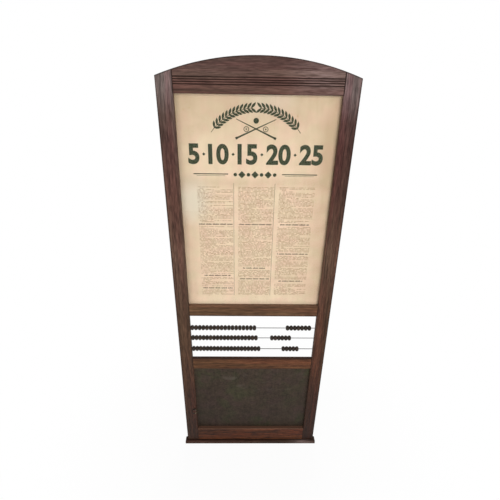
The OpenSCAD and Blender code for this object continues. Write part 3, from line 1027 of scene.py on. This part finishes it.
@dataclass
class OakFrame:
    """Stiles, rails and plinth.

    Attributes:
        arris: Width of the eased arrises.
        groove_pitch: Distance between the reeded grooves.
        groove_r: Radius of a groove.
        first_groove: Height of the lowest groove above the rail's lower edge.
        grooves: Number of grooves.
        rail_steps: Number of steps along the arched rail.
        plinth_top: Radius of the plinth's upper edges.
        plinth_foot: Radius of its lower edges.
    """

    arris: float = 0.0011
    groove_pitch: float = 0.0065
    groove_r: float = 0.0015
    first_groove: float = 0.0255
    grooves: int = 4
    rail_steps: int = 72
    plinth_top: float = 0.0075
    plinth_foot: float = 0.0020

    def __post_init__(self) -> None:
        """Reads the arch and the joints from the frame."""
        rail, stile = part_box("arched_top_rail"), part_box("left_stile")
        self.outer, self.inner = -stile[0].x, -stile[1].x
        self.head = rail[0].z
        drop = rail[1].z - stile[1].z
        self.radius = (self.inner ** 2 + drop ** 2) / (2 * drop)
        self.centre = Vector((0.0, 0.0, rail[1].z - self.radius))

    def arch(self, x: float) -> float:
        """Height of the arch at a place across the board."""
        return self.centre.z + math.sqrt(self.radius ** 2 - x ** 2)

    def build(self) -> None:
        """Builds and dresses every piece."""
        # Colour up each stile: the wood's tone with painted light, brighter higher up, and a painted sheen on
        # the top stops.
        left = tones(
            (0.00, 58, 38, 29), (0.16, 68, 45, 36), (0.30, 82, 56, 44), (0.45, 86, 62, 50),
            (0.60, 92, 70, 61), (0.73, 100, 74, 65), (0.85, 85, 62, 58), (0.90, 90, 70, 66),
            (0.95, 114, 97, 98),
        )
        right = tones(
            (0.00, 44, 23, 15), (0.16, 60, 36, 27), (0.30, 80, 51, 38), (0.45, 82, 56, 44),
            (0.60, 92, 68, 57), (0.72, 80, 55, 48), (0.85, 76, 50, 47), (0.90, 82, 58, 56),
            (0.95, 112, 94, 96),
        )
        joint = Line(Run.JOINT, self.inner, 0.0026, 0.80)
        # Painted shade along the arch's top edge and under the arched rail.
        rim = Line(Run.ARCH, self.radius, 0.0045, 0.7, self.centre.z)
        under = Line(Run.LEVEL, self.head, 0.0040, 0.4)
        # A painted shadow round the screw eye on the left stile.
        eye = sum(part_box("chalk_screw_eye"), Vector()) / 2
        stain = (eye.x + 0.0015, eye.z - 0.001, 0.012)
        cuts = ((0.31, 0.0, 1.7), (2.43, 0.4, 5.1), (0.9, 0.2, 0.55))
        # Painted shade beside the slate on the right stile only.
        clear, slate_shaded = self._lines(rim, 0.0), self._lines(rim, 0.5)
        self._stile("left_stile", Oak("oak_left_stile", Way.UPRIGHT, left, cuts[0], clear, stain=stain))
        self._stile("right_stile", Oak("oak_right_stile", Way.UPRIGHT, right, cuts[1], slate_shaded))
        # A painted sheen on the right of the arched rail.
        crown, bloom = tones((0.945, 94, 71, 64), (0.985, 95, 71, 68)), (0.966, 0.19, 0.14)
        lines = (joint, rim, under)
        self._arched_rail(Oak("oak_arched_rail", Way.LEVEL, crown, cuts[2], lines, bloom, streak=0.65))
        # The rails' tones darken down the board with painted light; their upper faces and edge lines carry
        # painted light, shade and highlights.
        self._rail("middle_rail", (98, 69, 51), 3.3, joint, (1.0, -0.18, 0.65), 0.65)
        self._rail("lower_rail", (94, 61, 42), 5.2, joint, (-0.60, 0.35, 0.30), 0.8)
        self._rail("bottom_rail", (79, 43, 27), 8.9, joint, (-0.52, -0.55, 0.0), 1.3)
        self._plinth()

    def _lines(self, rim: Line, slate_shade: float) -> tuple[Line, ...]:
        """The dark lines along a stile, with painted shade beside the slate.

        Args:
            rim: The line along the arch.
            slate_shade: How dark the painted shade beside the slate is.

        Returns:
            The lines, from the top down.
        """
        middle, lower, bottom = (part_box(name) for name in ("middle_rail", "lower_rail", "bottom_rail"))
        parts = (
            (self.head, FOOT + HEIGHT, 0.0026, 0.80), (middle[1].z, self.head, 0.0020, 0.20),
            (middle[0].z, middle[1].z, 0.0032, 0.75), (lower[1].z, middle[0].z, 0.0026, 0.45),
            (lower[0].z, lower[1].z, 0.0032, 0.75), (bottom[1].z, lower[0].z, 0.0030, slate_shade),
            (FOOT, bottom[1].z, 0.0032, 0.75),
        )
        beside = (
            Line(Run.JOINT, self.inner, reach, depth, span=(low, high)) for low, high, reach, depth in parts
        )
        return *beside, rim, Line(Run.JOINT, self.outer, 0.0060, 0.6)

    def _stile(self, node: str, oak: Oak) -> None:
        """One stile, with its top cut to the arch.

        Args:
            node: The node that it replaces.
            oak: Its finish.
        """
        low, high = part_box(node)
        shape = Shape()
        start = shape.bm.verts.new((low.x, low.y, self.arch(low.x)))
        turn = math.asin(high.x / self.radius) - math.asin(low.x / self.radius)
        shape.spin([start], "Y", turn, 10, self.centre)
        made = bmesh.ops.extrude_edge_only(shape.bm, edges=shape.bm.edges[:])["geom"]
        to_foot = Matrix.Translation((0, 0, -low.z))
        bmesh.ops.scale(shape.bm, vec=(1, 1, 0), space=to_foot, verts=verts_in(made))
        shape.thicken(Vector((0, high.y - low.y, 0)))
        shape.ease(self.arris)
        # Painted light on the stiles' inner faces beside the openings.
        shape.mark(shape.bm.faces, lambda at: 0.9 if abs(at.x) < self.inner + 0.0005 else 0.0)
        shape.piece("oak_" + node, oak.material(), instead=node)

    def _arched_rail(self, oak: Oak) -> None:
        """The top rail, with its grooves and its arch.

        Args:
            oak: Its finish.
        """
        low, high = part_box("arched_top_rail")
        left, pitch = -self.inner, self.groove_pitch
        first = low.z + self.first_groove
        level = first + self.grooves * pitch
        shape = Shape()
        line = [shape.bm.verts.new((left, low.y, low.z))]
        for middle in (first + i * pitch for i in range(self.grooves)):
            shape.chain(line, [(left, low.y, middle - self.groove_r)])
            line += shape.spin(line[-1:], "X", math.pi, 8, (left, low.y, middle))
        shape.chain(line, ((left, low.y, level), (left, high.y, level), (left, high.y, low.z)))
        shape.bm.edges.new((line[-1], line[0]))
        shape.sweep(Vector((2 * self.inner / self.rail_steps, 0, 0)), self.rail_steps)
        for vert in shape.bm.verts:
            if abs(vert.co.z - level) < HAIR:
                vert.co.z = self.arch(vert.co.x)
        bmesh.ops.holes_fill(shape.bm, edges=[e for e in shape.bm.edges if e.is_boundary], sides=0)

        def grime(at: Vector) -> float:
            """The mark of a face: -1 in the grooves, for painted shade."""
            reeded = first - self.groove_r < at.z < level - pitch + self.groove_r
            return -1.0 if reeded and low.y + HAIR < at.y < low.y + 0.002 else 0.0

        shape.mark(shape.bm.faces, grime)
        # The eased arrises are darker, darkest at the ends by the joints.
        shape.mark(shape.ease(self.arris * 0.5), lambda at: -1.0 if abs(at.x) > self.inner - 0.002 else -0.3)
        shape.piece("oak_arched_top_rail", oak.material(), instead="arched_top_rail")

    def _rail(
        self,
        node: str,
        tone: Colour,
        cut: float,
        joint: Line,
        edges: tuple[float, float, float],
        streak: float,
    ) -> None:
        """A plain rail between the stiles.

        Args:
            node: The node that it replaces.
            tone: Its tone with the painted light at its height, as a display colour from 0 to 255.
            cut: Where in the pattern it is cut from.
            joint: The dark line at its joints.
            edges: Painted light above 0 or painted shade below 0 on its upper face, and how dark its upper
                and lower edges are; the dark edges are painted shade and the pale ones painted highlights.
            streak: How strong its streaks are.
        """
        low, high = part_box(node)
        shape = Shape()
        shape.box(Vector((-self.inner, low.y, low.z)), Vector((self.inner, high.y, high.z)))
        shape.ease(self.arris)
        # Upper face: painted light on the middle rail, painted shade on the lower two.
        shape.mark(shape.bm.faces, lambda at: edges[0] if at.z > high.z - HAIR else 0.0)
        lines = (joint, Line(Run.LEVEL, high.z, 0.0032, edges[1]), Line(Run.LEVEL, low.z, 0.0060, edges[2]))
        even = tones((0.0, *tone), (1.0, *tone))
        oak = Oak("oak_" + node, Way.LEVEL, even, (cut, 0.1, cut / 3), lines, streak=streak)
        shape.piece(oak.name, oak.material(), instead=node)

    def _plinth(self) -> None:
        """The plinth, round at its front and its ends."""
        low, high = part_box("base_plinth")
        shape = Shape()
        shape.box(low, high)
        for radius, level in ((self.plinth_top, high.z), (self.plinth_foot, low.z)):
            rim = [e for e in shape.bm.edges if all(abs(v.co.z - level) < HAIR for v in e.verts)]
            seen = [e for e in rim if min(v.co.y for v in e.verts) < high.y - HAIR]
            shape.bevel(seen, radius, 8)
        even = tones((0.0, 68, 50, 43), (1.0, 68, 50, 43))
        # The pale line at the foot is a painted highlight, and the patch at the right front a painted sheen.
        lines = (Line(Run.LEVEL, high.z, 0.0040, 0.65), Line(Run.LEVEL, low.z + 0.003, 0.0030, -0.06))
        oak = Oak("oak_plinth", Way.LEVEL, even, (4.7, 0.3, 2.2), lines, (0.004, 0.25, 0.09), gloss=0.06)
        shape.piece("oak_base_plinth", oak.material(), instead="base_plinth")


@dataclass
class BackBattens:
    """Battens that are planted on the back of the frame.

    Attributes:
        wood: Their tones, from the foot of the board to its top.
    """

    wood: Tones = tones((0.0, 78, 57, 44), (1.0, 90, 71, 58))

    def build(self) -> None:
        """Dresses every batten."""
        upright = Oak("oak_side_battens", Way.UPRIGHT, self.wood, (5.2, 0.7, 3.9)).material()
        level = Oak("oak_cross_battens", Way.LEVEL, self.wood, (7.4, 0.5, 1.3)).material()
        dress(upright, *(side + "_back_batten" for side in ("left", "right")))
        dress(level, *(place + "_cross_batten" for place in ("top", "middle", "lower", "bottom")))


@dataclass
class PrintStack:
    """Glass, spacer, printed sheet and backboards, and the slate.

    Attributes:
        iron: Material of the pins.
        ease: Width of the planks' eased arrises.
        planks: Number of planks in a backboard.
        gap: Gap from plank to plank.
    """

    iron: bpy.types.Material
    ease: float = 0.0012
    planks: int = 3
    gap: float = 0.0010

    def build(self) -> None:
        """Builds and dresses every piece."""
        columns = Columns()
        dress(WindowGlass().material(), "glass_pane")
        dress(Card().material(), "glass_spacer")
        dress(AgedPaper(columns).material(), "printed_sheet")
        dress(WritingSlate().material(), "slate_panel")
        low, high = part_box("print_backboard")
        pitch = (high.x - low.x + self.gap) / self.planks
        pine = Pine(low.x - self.gap / 2, pitch).material()
        for node in ("print_backboard", "slate_backboard"):
            low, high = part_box(node)
            shape = Shape()
            for i in range(self.planks):
                left = low.x + i * pitch
                shape.box(Vector((left, low.y, low.z)), Vector((left + pitch - self.gap, high.y, high.z)))
            shape.ease(self.ease)
            shape.piece("pine_" + node, pine, instead=node)
        dress(self.iron, "print_pins", "slate_pins")
        brown = PrintersInk("brown_ink", paint(58, 37, 24), paint(98, 70, 48))
        PrintedDesign(columns, PrintersInk().material(), brown.material()).build()


@dataclass
class PrintedDesign:
    """What is printed on the sheet: a plain design of cues, balls, sprigs, numbers, rules and headings.

    Attributes:
        columns: Where the small lines lie.
        ink: Ink of the large print.
        small_ink: Ink of the headings and the rules between the columns.
        slab: Thickness of the ink's slabs.
        middle: X of the design's middle line.
        sprig_z: Height of the centre of the sprigs' curve.
        sprig_r: Radius of the sprigs' curve.
        stem: Width of a sprig's stem.
        leaf_pairs: Number of pairs of leaves on a sprig.
        leaf_angles: The angles of the first leaves and past the last ones, in degrees.
        leaf_lean: How far a leaf leans off its stem, in radians.
        leaf: Length of a leaf.
        cross_z: Height of the place where the cues cross.
        cue: Half the length of a cue.
        cue_r: Half its thickness at its butt.
        cue_tilt: How far it slants, in degrees.
        ball_r: Radius of a ball.
        ball_line: Width of its outline.
        number_x: X of the row of numbers' two ends.
        number_z: Heights of the numbers' feet and heads.
        number_width: Width of the numbers, as a share of the type's own.
        lozenge: Radius of the lozenges between the numbers.
        rule_x: X of the ends of the left and the right rules.
        rule_z: Height of the rules.
    """

    columns: Columns
    ink: bpy.types.Material
    small_ink: bpy.types.Material
    slab: float = 0.0002
    middle: float = -0.0050
    sprig_z: float = -0.1360
    sprig_r: float = 0.1700
    stem: float = 0.0018
    leaf_pairs: int = 12
    leaf_angles: tuple[float, float] = (5.5, 53.5)
    leaf_lean: float = 0.75
    leaf: float = 0.0180
    cross_z: float = -0.0270
    cue: float = 0.068
    cue_r: float = 0.0028
    cue_tilt: float = 25.0
    ball_r: float = 0.0085
    ball_line: float = 0.0022
    number_x: tuple[float, float] = (-0.2200, 0.2120)
    number_z: tuple[float, float] = (-0.1385, -0.0730)
    number_width: float = 0.92
    lozenge: float = 0.0052
    rule_x: tuple[tuple[float, float], ...] = ((-0.206, -0.0925), (0.0835, 0.199))
    rule_z: float = -0.1710

    def __post_init__(self) -> None:
        """Finds the sheet's face, and the front and the middle of the ink."""
        self.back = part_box("printed_sheet")[0].y
        self.front, self.level = self.back - self.slab, self.back - self.slab / 2

    def build(self) -> None:
        """Builds and dresses every piece."""
        self._emblem()
        self._numbers()
        self._rules()
        self._headings()

    def _bar(self, shape: Shape, x0: float, x1: float, z0: float, z1: float) -> Verts:
        """Adds a straight bar of ink."""
        return shape.box(Vector((x0, self.front, z0)), Vector((x1, self.back, z1)))

    def _cut(self, inner: float, outer: float) -> tuple[tuple[float, float], ...]:
        """The corners of a cut through a curved stroke of ink, as distances from its centre and Y."""
        return (inner, self.front), (outer, self.front), (outer, self.back), (inner, self.back)

    def _emblem(self) -> None:
        """Two sprigs that meet in an arch over crossed cues and three balls."""
        shape = Shape()
        for side in (-1, 1):
            self._sprig(shape, side)
            self._cue(shape, side)
        spot, full = 0.0026, self.ball_r - 0.001
        for x, z, filling in ((-0.030, -0.001, spot), (0.030, -0.001, spot), (0.0, 0.024, full)):
            self._ball(shape, Vector((self.middle + x, self.level, self.cross_z + z)), filling)
        shape.piece("printed_emblem", self.ink, even=False)

    def _ball(self, shape: Shape, at: Vector, filling: float) -> None:
        """Adds a ball: a ring round a disc.

        Args:
            shape: The mesh.
            at: Its centre.
            filling: Radius of the disc.
        """
        cut = self._cut(at.x + self.ball_r - self.ball_line, at.x + self.ball_r)
        ring = [shape.bm.verts.new((x, y, at.z)) for x, y in cut]
        loop = [shape.bm.edges.new((ring[i - 1], ring[i])) for i in range(4)]
        shape.spin(ring + loop, "Y", FULL_TURN, 28, at)
        shape.disc(at, filling, self.slab, 24)

    def _sprig(self, shape: Shape, side: int) -> None:
        """Adds a curved stem with its leaves.

        Args:
            shape: The mesh.
            side: 1 for the right sprig and -1 for the left one.
        """
        centre = Vector((self.middle, self.level, self.sprig_z))
        first, last = self.leaf_angles
        for i in range(self.leaf_pairs):
            angle = math.radians(first + i * (last - first) / self.leaf_pairs)
            out = Vector((side * math.sin(angle), 0, math.cos(angle)))
            along = math.atan2(math.sin(angle), -side * math.cos(angle))
            for lean in (-self.leaf_lean, self.leaf_lean):
                self._leaf(shape, centre + out * self.sprig_r, along + lean)
        cut = self._cut(self.sprig_r - self.stem / 2, self.sprig_r + self.stem / 2)
        end = [shape.bm.verts.new((self.middle, y, self.sprig_z + out)) for out, y in cut]
        face = shape.bm.faces.new(end)
        start, length = 4.0, 51.0
        shape.turn(end, math.radians(side * start), "Y", centre)
        shape.spin([face], "Y", math.radians(side * length), 16, centre)

    def _leaf(self, shape: Shape, at: Vector, turn: float) -> None:
        """Adds a pointed leaf of ink.

        Args:
            shape: The mesh.
            at: Where its stalk ends.
            turn: The way it points, from +X towards +Z, in radians.
        """
        slim, point = 0.42, 1.22
        verts = shape.disc(Vector((0, 0, 0)), self.leaf / 2, self.slab, 12)
        bmesh.ops.scale(shape.bm, vec=(1, 1, slim), verts=verts)
        for vert in verts:
            if abs(vert.co.z) < HAIR:
                vert.co.x *= point
        shape.move(verts, (self.leaf / 2 * point, 0, 0))
        shape.turn(verts, -turn, "Y")
        shape.move(verts, at)

    def _cue(self, shape: Shape, side: int) -> None:
        """Adds a slanting cue with its butt.

        Args:
            shape: The mesh.
            side: 1 for a cue that points to the right and -1 for the other one.
        """
        taper, butt_r = 0.36, self.cue_r + 0.001
        verts = self._bar(shape, -self.cue, self.cue, -self.cue_r, self.cue_r)
        for vert in verts:
            if vert.co.x > 0:
                vert.co.z *= taper
        verts += self._bar(shape, -self.cue - 0.002, -self.cue + 0.004, -butt_r, butt_r)
        shape.turn(verts, math.radians(-self.cue_tilt), "Y")
        bmesh.ops.scale(shape.bm, vec=(side, 1, 1), verts=verts)
        shape.move(verts, (self.middle, 0, self.cross_z))

    def _numbers(self) -> None:
        """A row of plain numbers by fives, evenly spaced, with lozenges between them."""
        shape = Shape()
        left, right = self.number_x
        meshes = [self._number(str(number)) for number in range(5, 30, 5)]
        widths = [max(v.co.x for v in mesh.vertices) for mesh in meshes]
        gap = (right - left - sum(widths)) / (len(meshes) - 1)
        for mesh, width in zip(meshes, widths):
            mesh.transform(Matrix.Translation((left, 0, 0)))
            shape.bm.from_mesh(mesh)
            bpy.data.meshes.remove(mesh)
            left += width + gap
            if left < right:
                at = Vector((left - gap / 2, self.level, sum(self.number_z) / 2))
                shape.disc(at, self.lozenge, self.slab, 4)
        shape.piece("printed_numbers", self.ink, even=False)

    def _number(self, text: str) -> bpy.types.Mesh:
        """One tall bold number.

        Args:
            text: The number.

        Returns:
            Its mesh, with its left edge at X 0.
        """
        boldness, facets = 0.036, 5
        curve = bpy.data.curves.new("number", "FONT")
        curve.body, curve.offset, curve.extrude, curve.resolution_u = text, boldness, 0.5, facets
        holder = add("number", curve)
        bpy.context.view_layer.update()
        mesh = bpy.data.meshes.new_from_object(holder)
        bpy.data.objects.remove(holder)
        bpy.data.curves.remove(curve)
        xs, ys = [v.co.x for v in mesh.vertices], [v.co.y for v in mesh.vertices]
        low, high = self.number_z
        scale = (high - low) / (max(ys) - min(ys))
        mesh.transform(
            Matrix.Translation((0, self.level, low)) @ Matrix.Rotation(math.pi / 2, 4, "X")
            @ Matrix.Diagonal((scale * self.number_width, scale, self.slab, 1))
            @ Matrix.Translation((-min(xs), -min(ys), 0))
        )
        return mesh

    def _rules(self) -> None:
        """A thick and a thin rule on either side of a row of lozenges and dots."""
        shape = Shape()
        thick, thin, gap, inset = 0.0032, 0.0010, 0.0034, 0.010
        for x0, x1 in self.rule_x:
            self._bar(shape, x0, x1, self.rule_z, self.rule_z + thick)
            self._bar(shape, x0 + inset, x1 - inset, self.rule_z - gap - thin, self.rule_z - gap)
        dot, lozenge, pitch = (0.0060, 12), (0.0120, 4), 0.0215
        for i in range(-3, 4):
            radius, sides = dot if i % 2 else lozenge
            shape.disc(Vector((self.middle + i * pitch, self.level, self.rule_z)), radius, self.slab, sides)
        shape.piece("printed_rules", self.ink, even=False)

    def _headings(self) -> None:
        """Rules between the columns, and headings: rows of small bold strokes that are no letters."""
        shape = Shape()
        at = self.columns
        half_rule, rise, foot, space, gap = 0.0005, 0.014, 0.0020, 0.0042, 0.0009
        for i in (1, 2):
            x = at.left + i * at.pitch - at.margin
            self._bar(shape, x - half_rule, x + half_rule, at.top - at.rows * at.row, at.top + rise)
        for column, row, half in at.headings:
            z = at.top - row * at.row
            middle = at.left + column * at.pitch + at.width / 2
            x, k = middle - half, row + column  # k gives each stroke its size, and each word its end
            while x < middle + half:
                wide = 0.0014 + 0.0007 * (k * 5 % 3)
                tall = 0.0018 + 0.0008 * (k * 11 % 4 == 0) + 0.0003 * (k * 7 % 3)
                self._bar(shape, x, x + wide, z - foot, z + tall)
                x += wide + (space if k * 3 % 7 == 0 else gap)
                k += 1
        shape.piece("printed_headings", self.small_ink, even=False)


@dataclass
class BeadWires:
    """Three wires with their runs of turned beads.

    Attributes:
        length: Length of a bead along its wire.
        end_r: Radius of a bead's flat end.
        bore_r: Radius of its bore.
        mouth: Depth of the chamfer at the mouth of the bore.
        round_steps: Facets along a bead's round side.
        sides: Facets round a bead.
        counts: Number of beads in the left and the right run of each wire.
    """

    length: float = 0.0140
    end_r: float = 0.0052
    bore_r: float = 0.0016
    mouth: float = 0.0006
    round_steps: int = 12
    sides: int = 30
    counts: tuple[tuple[str, int, int], ...] = (("upper", 18, 7), ("middle", 19, 6), ("lower", 20, 5))

    def build(self) -> None:
        """Builds every run and dresses the wires."""
        steel = Metal("wire_steel", paint(66, 64, 62), paint(48, 44, 40), 0.6).material()
        black = EbonisedWood().material()
        for wire, left, right in self.counts:
            dress(steel, wire + "_wire")
            self._run(wire + "_left_beads", left, black)
            self._run(wire + "_right_beads", right, black)

    def _run(self, body: str, count: int, finish: bpy.types.Material) -> None:
        """One run of beads that slide together.

        Args:
            body: Its body.
            count: Number of its beads.
            finish: Their material.
        """
        node = body + "_run"
        low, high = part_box(node)
        pitch = (high.x - low.x - self.length) / (count - 1)
        shape = Shape()
        self._bead(shape, (high.z - low.z) / 2)
        first = shape.bm.verts[:] + shape.bm.edges[:] + shape.bm.faces[:]
        for i in range(1, count):
            verts = verts_in(bmesh.ops.duplicate(shape.bm, geom=first)["geom"])
            shape.turn(verts, i * 1.7, "X")
            shape.move(verts, (i * pitch, 0, 0))
        middle = (low + high) / 2
        shape.move(shape.bm.verts[:], (low.x + self.length / 2, middle.y, middle.z))
        shape.piece("turned_" + body, finish, body, node, even=False)

    def _bead(self, shape: Shape, radius: float) -> None:
        """One bead at the origin, its bore along X, turned from its profile.

        Args:
            shape: The mesh.
            radius: The bead's largest radius.
        """
        half = self.length / 2
        crown = radius - self.end_r
        bow = (half ** 2 + crown ** 2) / (2 * crown)
        start = shape.bm.verts.new((-half, 0, self.end_r))
        line = shape.spin([start], "Y", 2 * math.asin(half / bow), self.round_steps, (0, 0, radius - bow))
        wide, deep = self.bore_r + 2 * self.mouth, half - self.mouth
        bore = ((half, wide), (deep, self.bore_r), (-deep, self.bore_r), (-half, wide))
        shape.chain(line, ((x, 0, z) for x, z in bore))
        shape.bm.edges.new((line[-1], start))
        shape.spin(shape.bm.verts[:] + shape.bm.edges[:], "X", FULL_TURN, self.sides)
        bmesh.ops.remove_doubles(shape.bm, verts=shape.bm.verts[:], dist=HAIR)


@dataclass
class Ironwork:
    """Screw eye, hanging plates and screws.

    Attributes:
        iron: Material of the plates and screws.
        gap: The angle that the eye is open, in radians.
        sides: Facets round the eye's wire.
        rubbed_x: X from which the eye has a painted glint.
    """

    iron: bpy.types.Material
    gap: float = 0.30
    sides: int = 14
    rubbed_x: float = -0.2536

    def build(self) -> None:
        """Builds the eye and dresses the rest."""
        self._screw_eye()
        dress(self.iron, "left_hanging_plate", "right_hanging_plate")
        dress(self.iron, "hanging_plate_screws", "batten_screws", "plinth_screws")

    def _screw_eye(self) -> None:
        """An open ring of wire on a shank."""
        low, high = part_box("chalk_screw_eye")
        wire = (high.z - low.z) / 2
        ring = (high.x - low.x) / 2 - wire
        centre = Vector(((low.x + high.x) / 2, low.y + ring + wire, (low.z + high.z) / 2))
        shape = Shape()
        made = bmesh.ops.create_circle(shape.bm, cap_ends=True, segments=self.sides, radius=wire)["verts"]
        shape.turn(made, math.pi / 2, "X")
        shape.move(made, (ring, 0, 0))
        shape.turn(made, math.pi / 2, "Z")
        shape.spin(shape.bm.faces[:], "Z", FULL_TURN - self.gap, 40)
        shape.move(shape.bm.verts[:], centre)
        back = centre.y + ring
        shape.disc(Vector((centre.x, (high.y + back) / 2, centre.z)), wire, high.y - back, self.sides)
        eye = Metal("eye_iron", paint(118, 108, 88), paint(22, 17, 14), 0.9, self.rubbed_x)
        shape.piece("iron_screw_eye", eye.material(), instead="chalk_screw_eye", even=False)


# The studio


@dataclass
class Studio:
    """Pale floor, soft light and the camera.

    Attributes:
        sensor: Width of the camera's sensor in millimetres.
        focal: Its focal length in millimetres.
        eye: The camera's place.
        pitch: How far it looks down, in degrees.
        yaw: How far it looks to the right, in degrees.
        roll: How far it leans, in degrees.
        air: Colour of the light from all round.
        air_strength: Its strength.
        warm: Colour of the lamps.
    """

    sensor: float = 36.0
    focal: float = 361.0 / 500 * sensor  # 361 pixels of the frame's 500
    eye: tuple[float, float, float] = (-0.0399, -1.1771, 0.1384)
    pitch: float = 26.617
    yaw: float = 1.113
    roll: float = 0.976
    air: Colour = (1.0, 0.985, 0.96)
    air_strength: float = 0.27
    warm: Colour = (1.0, 0.98, 0.95)

    def build(self) -> None:
        """Builds the camera, the lights, the world and the floor."""
        self._camera()
        self._world()
        self._lamp("key_light", (0.9, -3.0, 0.6), -0.6, 1.6, 75.0)
        self._lamp("fill_light", (-1.6, -2.4, 0.0), -0.7, 1.6, 21.0)
        self._lamp("back_light", (0.4, 2.8, 0.8), -0.6, 2.0, 50.0)
        self._floor()

    def _camera(self) -> None:
        """The camera of the photograph's view."""
        data = bpy.data.cameras.new("camera")
        data.lens, data.sensor_width = self.focal, self.sensor
        turns = ((-self.yaw, "Z"), (90 - self.pitch, "X"), (self.roll, "Z"))
        yaw, pitch, roll = (Matrix.Rotation(math.radians(angle), 4, axis) for angle, axis in turns)
        camera = add("camera", data)
        camera.matrix_world = Matrix.Translation(self.eye) @ yaw @ pitch @ roll
        bpy.context.scene.camera = camera

    def _world(self) -> None:
        """A soft grey light that looks white to the camera, in mirrors and through glass."""
        tree = Tree(bpy.data.worlds.new("studio"))
        soft = tree.node("ShaderNodeBackground", sockets={"Color": self.air, "Strength": self.air_strength})
        white = tree.node("ShaderNodeBackground", sockets={"Color": WHITE, "Strength": 1.0})
        light = tree.either(tree.looked_at(), soft, white)
        bpy.context.scene.world = tree.done(light, "ShaderNodeOutputWorld")

    def _lamp(self, name: str, place: Point, aim: float, size: float, power: float) -> None:
        """A square soft light.

        Args:
            name: Its name.
            place: Where it stands.
            aim: Height of the point of the board's middle line that it faces.
            size: Length of its side.
            power: Its power in watts.
        """
        data = bpy.data.lights.new(name, "AREA")
        data.size, data.energy, data.color = size, power, self.warm
        lamp = add(name, data)
        way = Vector((0.0, 0.0, aim)) - Vector(place)
        lamp.matrix_world = Matrix.Translation(place) @ way.to_track_quat("-Z", "Y").to_matrix().to_4x4()
        lamp.visible_camera = lamp.visible_glossy = False

    def _floor(self) -> None:
        """A pale floor that takes a faint shadow."""
        half, below = 14.0, 0.0002
        ground = bmesh.new()
        bmesh.ops.create_grid(ground, x_segments=1, y_segments=1, size=half)
        bmesh.ops.translate(ground, vec=(0, 0, FOOT - below), verts=ground.verts[:])
        mesh = bpy.data.meshes.new("floor")
        ground.to_mesh(mesh)
        ground.free()
        floor = add("floor", mesh)
        tree = Tree(bpy.data.materials.new("pale_floor"))
        lit = tree.node("ShaderNodeBsdfDiffuse", sockets={"Color": (0.8, 0.8, 0.8)})
        white = tree.node("ShaderNodeEmission", sockets={"Color": WHITE, "Strength": 1.0})
        across, along, _ = tree.axes(tree.place())
        share = tree.looked_at() * (0.95 + 0.05 * distance(across, along).rise(0.2, 1.1))
        mesh.materials.append(tree.done(tree.either(share, lit, white)))


def main() -> None:
    """Builds the scoreboard's looks, piece by piece."""
    logging.basicConfig(level=logging.INFO, format="%(message)s")
    bpy.context.scene.view_settings.view_transform = "Standard"
    iron = Metal("old_iron", paint(84, 78, 72), paint(40, 32, 27), 0.75).material()
    for part in (Studio(), OakFrame(), BackBattens(), PrintStack(iron), BeadWires(), Ironwork(iron)):
        part.build()


if __name__ == "__main__":
    main()
